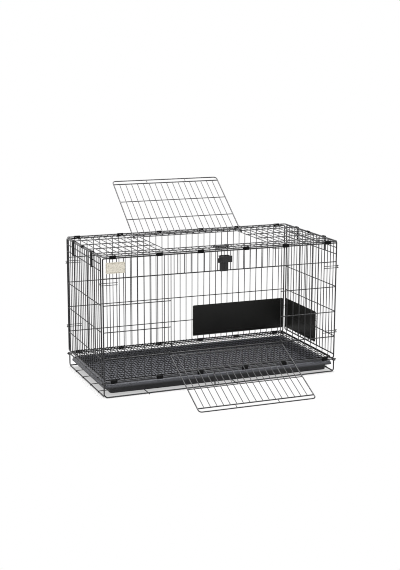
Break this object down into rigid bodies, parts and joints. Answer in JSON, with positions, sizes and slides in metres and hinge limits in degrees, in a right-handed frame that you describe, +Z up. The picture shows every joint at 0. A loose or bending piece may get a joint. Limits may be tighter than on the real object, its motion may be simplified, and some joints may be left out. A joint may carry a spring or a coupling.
{
  "type": "folding wire rabbit cage",
  "caption": "Black wire rabbit cage on a base frame, with a front ramp door, a top door, fold-in end panels, a mesh floor and a slide-out pan.",
  "frame": {"origin": "centre of the base frame's footprint, on the ground", "axes": "+Z up; +X along the cage to the end with the side guard; -Y towards the ramp door"},
  "size_m": [0.9606, 0.9249, 0.7085],
  "materials": {
    "black_coated_wire": "satin black electro-coat on welded steel wire",
    "black_sheet_steel": "satin black coated sheet steel",
    "pan_plastic": "matt moulded black plastic",
    "guard_plastic": "smooth vacuum-formed black sheet",
    "latch_plastic": "moulded black nylon",
    "label_card": "bare cream card"
  },
  "bodies": {
    "frame": {"base_frame": "black_coated_wire", "pan_support_wires": "black_coated_wire", "floor_grid": "black_coated_wire", "front_panel_left": "black_coated_wire", "front_panel_right": "black_coated_wire", "front_panel_above": "black_coated_wire", "front_panel_below": "black_coated_wire", "back_panel": "black_coated_wire", "top_panel_left": "black_coated_wire", "top_panel_right": "black_coated_wire", "top_panel_back": "black_coated_wire", "top_panel_front": "black_coated_wire", "top_front_clips": "black_sheet_steel", "top_back_clips": "black_sheet_steel", "base_front_clips": "black_sheet_steel", "base_back_clips": "black_sheet_steel", "front_left_hooks": "black_coated_wire", "front_right_hooks": "black_coated_wire", "back_left_hooks": "black_coated_wire", "back_right_hooks": "black_coated_wire", "front_latch_plate": "latch_plastic", "top_latch_plate": "latch_plastic", "back_guard": "guard_plastic", "label_plate": "label_card"},
    "pan": {"pan_floor": "pan_plastic", "pan_long_walls": "pan_plastic", "pan_end_walls": "pan_plastic", "pan_corners": "pan_plastic"},
    "ramp_door": {"front_door": "black_coated_wire"},
    "roof_door": {"top_door": "black_coated_wire"},
    "ramp_latch": {"front_latch_slide": "latch_plastic"},
    "roof_latch": {"top_latch_slide": "latch_plastic"},
    "left_end": {"left_end_panel": "black_coated_wire", "left_straps": "black_sheet_steel", "left_end_clip": "black_sheet_steel"},
    "right_end": {"right_end_panel": "black_coated_wire", "right_straps": "black_sheet_steel", "right_end_clip": "black_sheet_steel", "side_guard": "guard_plastic", "guard_spring": "black_coated_wire"}
  },
  "joints": [
    {"name": "ramp_door_hinge", "type": "hinge", "parent": "frame", "child": "ramp_door", "pos_m": [0.013, -0.2275, 0.142], "axis": [-1, 0, 0], "range_deg": [0, 114.72]},
    {"name": "roof_door_hinge", "type": "hinge", "parent": "frame", "child": "roof_door", "pos_m": [0, 0.1345, 0.519], "axis": [1, 0, 0], "range_deg": [0, 144]},
    {"name": "ramp_latch_slide", "type": "slide", "parent": "frame", "child": "ramp_latch", "axis": [0, 0, -1], "range_m": [0, 0.02]},
    {"name": "roof_latch_slide", "type": "slide", "parent": "frame", "child": "roof_latch", "axis": [0, 1, 0], "range_m": [0, 0.02]},
    {"name": "left_end_hinge", "type": "hinge", "parent": "frame", "child": "left_end", "pos_m": [-0.47, 0, 0.519], "axis": [0, -1, 0], "range_deg": [0, 88]},
    {"name": "right_end_hinge", "type": "hinge", "parent": "frame", "child": "right_end", "pos_m": [0.47, 0, 0.519], "axis": [0, 1, 0], "range_deg": [0, 88]},
    {"name": "pan_slide", "type": "slide", "parent": "frame", "child": "pan", "axis": [1, 0, 0], "range_m": [0, 0.7]}
  ]
}
